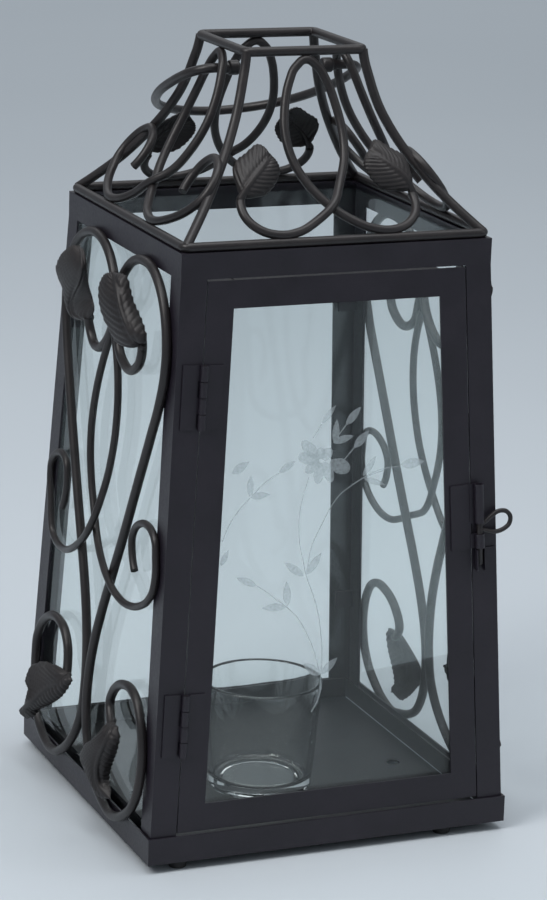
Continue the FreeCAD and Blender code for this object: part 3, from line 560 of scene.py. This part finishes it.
ETCH_PETALS = [((-8.7, 211.1), (-18.3, 221.2), 6.5), ((-8.7, 210.1), (-20.4, 213.6), 6.5), ((-8.1, 209.5), (-16.4, 204.9), 5.9), ((-7.6, 209.0), (-9.6, 198.1), 5.9),
               ((-5.9, 209.4), (-1.3, 198.5), 5.9), ((-2.6, 209.1), (8.7, 204.1), 8.1), ((-6.5, 210.5), (-2.1, 216.4), 5.9), ((-8.2, 211.1), (-7.7, 217.3), 5.4)]
ETCH_STEMS = [[(36.9, 204.0), (26.7, 203.2), (20.0, 201.1), (13.3, 197.9), (7.8, 194.7), (3.3, 191.6), (-1.0, 186.4), (-5.9, 177.9), (-9.7, 170.8), (-12.4, 164.7), (-13.7, 157.4), (-15.0, 150.7)],
              [(-14.1, 202.1), (-16.2, 195.5), (-18.3, 187.8), (-19.3, 177.4), (-18.6, 166.8), (-16.8, 158.8), (-15.0, 150.7), (-11.4, 141.3), (-7.9, 130.3), (-6.0, 117.9), (-5.2, 104.4), (-5.9, 96.4)],
              [(-24.7, 134.0), (-19.1, 128.2), (-14.5, 120.3), (-11.0, 113.0), (-8.0, 103.6), (-5.9, 96.4)],
              [(-42.1, 147.3), (-37.1, 143.9), (-31.5, 139.4), (-24.7, 134.0)], [(-12.2, 222.3), (-7.4, 229.3)], [(1.6, 222.4), (6.0, 227.8)],
              [(5.2, 209.6), (10.7, 215.5)], [(-30.7, 205.5), (-38.4, 200.9), (-45.4, 194.7)], [(-46.5, 193.7), (-51.9, 188.4), (-57.3, 181.1), (-61.5, 172.1)],
              [(16.1, 199.3), (23.4, 201.4), (27.9, 202.6)], [(-5.9, 96.4), (-7.1, 83.6), (-10.9, 77.0)], [(-5.9, 96.4), (-5.5, 88.3)]]


def blade(base, tip, width, kind, level, n=18):
    """Outline of one etched leaf or petal as a fan of faces with a raised rim."""
    b, t = np.array(base), np.array(tip)
    d = t - b
    side = np.array([-d[1], d[0]]) / np.linalg.norm(d)
    pts = []
    for k in range(n + 1):
        x = k / n
        if kind == "leaf":
            w = math.sin(math.pi * x ** 0.85) ** 0.9
        else:
            w = math.sqrt(max(0.0, 1 - (1.75 * x - 0.75) ** 2)) if x > 0.43 else 0.35 + 0.65 * (x / 0.43) ** 0.8
        pts.append((b + d * x, side * width * 0.5 * w))
    out, faces = [], []
    for c, s in pts:
        for k in (-1.0, -0.5, 0.0, 0.5, 1.0):
            p = c + s * k
            out.append(on_pane(p[0], p[1], 0.05 + level - 0.02 * (1 - abs(k))))
    for i in range(n):
        for j in range(4):
            a = i * 5 + j
            faces.append((a, a + 1, a + 6, a + 5))
    return out, faces


def stroke(points, w0, w1, level):
    p = curve([(x, z) for x, z in points], np.linspace(0, 1, max(6, 5 * len(points)))) if len(points) > 2 else np.array(points, float)
    d = np.gradient(p, axis=0)
    d /= np.linalg.norm(d, axis=1, keepdims=True)
    s = np.stack([-d[:, 1], d[:, 0]], 1)
    out, faces = [], []
    for i, (c, q) in enumerate(zip(p, s)):
        w = (w0 + (w1 - w0) * i / max(1, len(p) - 1)) * 0.5
        for k in (-1, 0, 1):
            out.append(on_pane(*(c + q * w * k), 0.05 + level))
    for i in range(len(p) - 1):
        for j in range(2):
            a = i * 3 + j
            faces.append((a, a + 1, a + 4, a + 3))
    return out, faces


verts, faces = [], []
level = 0.0
for parts in ([stroke(s, 0.55, 0.8, 0.0) for s in ETCH_STEMS] + [blade(*q, "leaf", 0.01 + 0.002 * i) for i, q in enumerate(ETCH_LEAVES)]
              + [blade(*q, "petal", 0.05 + 0.012 * i) for i, q in enumerate(ETCH_PETALS)]):
    k = len(verts)
    verts += parts[0]
    faces += [tuple(v + k for v in f) for f in parts[1]]
spray = make_mesh("etched_spray", np.array(verts), faces, ETCH)
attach(spray, "door")


# ------------------------------------------------------------ studio and light
def stage_material():
    m = Tree("studio_paper")
    p = m.add("ShaderNodeBsdfPrincipled")
    m.link(m.ramp(m.noise(1.6, 2.0, 0.5), [(0.3, (0.545, 0.590, 0.630)), (0.7, (0.560, 0.605, 0.645))]), p.inputs["Base Color"])
    p.inputs["Roughness"].default_value = 0.75
    p.inputs["Specular IOR Level"].default_value = 0.25
    m.link(m.bump(m.noise(900.0, 2.0, 0.5), 0.03, 0.0001), p.inputs["Normal"])
    m.link(p.outputs[0], m.out.inputs["Surface"])
    return m.mat


me = bpy.data.meshes.new("studio_floor")
bm = bmesh.new()
bmesh.ops.create_grid(bm, x_segments=24, y_segments=24, size=9.0)
bm.to_mesh(me)
bm.free()
me.materials.append(stage_material())
floor = bpy.data.objects.new("studio_floor", me)
scene.collection.objects.link(floor)

world = bpy.data.worlds.new("studio_world")
world.use_nodes = True
bg = world.node_tree.nodes.get("Background") or world.node_tree.nodes.new("ShaderNodeBackground")
bg.inputs["Color"].default_value = (0.60, 0.66, 0.72, 1)
bg.inputs["Strength"].default_value = 0.46
out = world.node_tree.nodes.get("World Output") or world.node_tree.nodes.new("ShaderNodeOutputWorld")
world.node_tree.links.new(bg.outputs[0], out.inputs["Surface"])
scene.world = world


def softbox(name, loc, target, size, power, color):
    d = bpy.data.lights.new(name, "AREA")
    d.shape = "RECTANGLE"
    d.size, d.size_y = size
    d.energy = power
    d.color = color
    o = bpy.data.objects.new(name, d)
    o.location = loc
    o.rotation_euler = (Vector(target) - Vector(loc)).to_track_quat("-Z", "Y").to_euler()
    scene.collection.objects.link(o)
    return o


softbox("key", (-1.6, -0.5, 1.9), (0, 0, 0.2), (1.0, 1.0), 26.0, (1.0, 0.985, 0.97))
softbox("top", (0.1, -0.25, 2.15), (0, -0.1, 0.0), (1.8, 1.4), 24.0, (0.97, 0.985, 1.0))
softbox("fill", (1.8, -1.2, 1.2), (0, 0, 0.2), (1.0, 1.0), 4.5, (0.96, 0.98, 1.0))
softbox("backdrop", (1.4, 4.4, 3.2), (1.4, 4.4, 0.0), (5.0, 4.0), 49.0, (0.98, 0.99, 1.0))
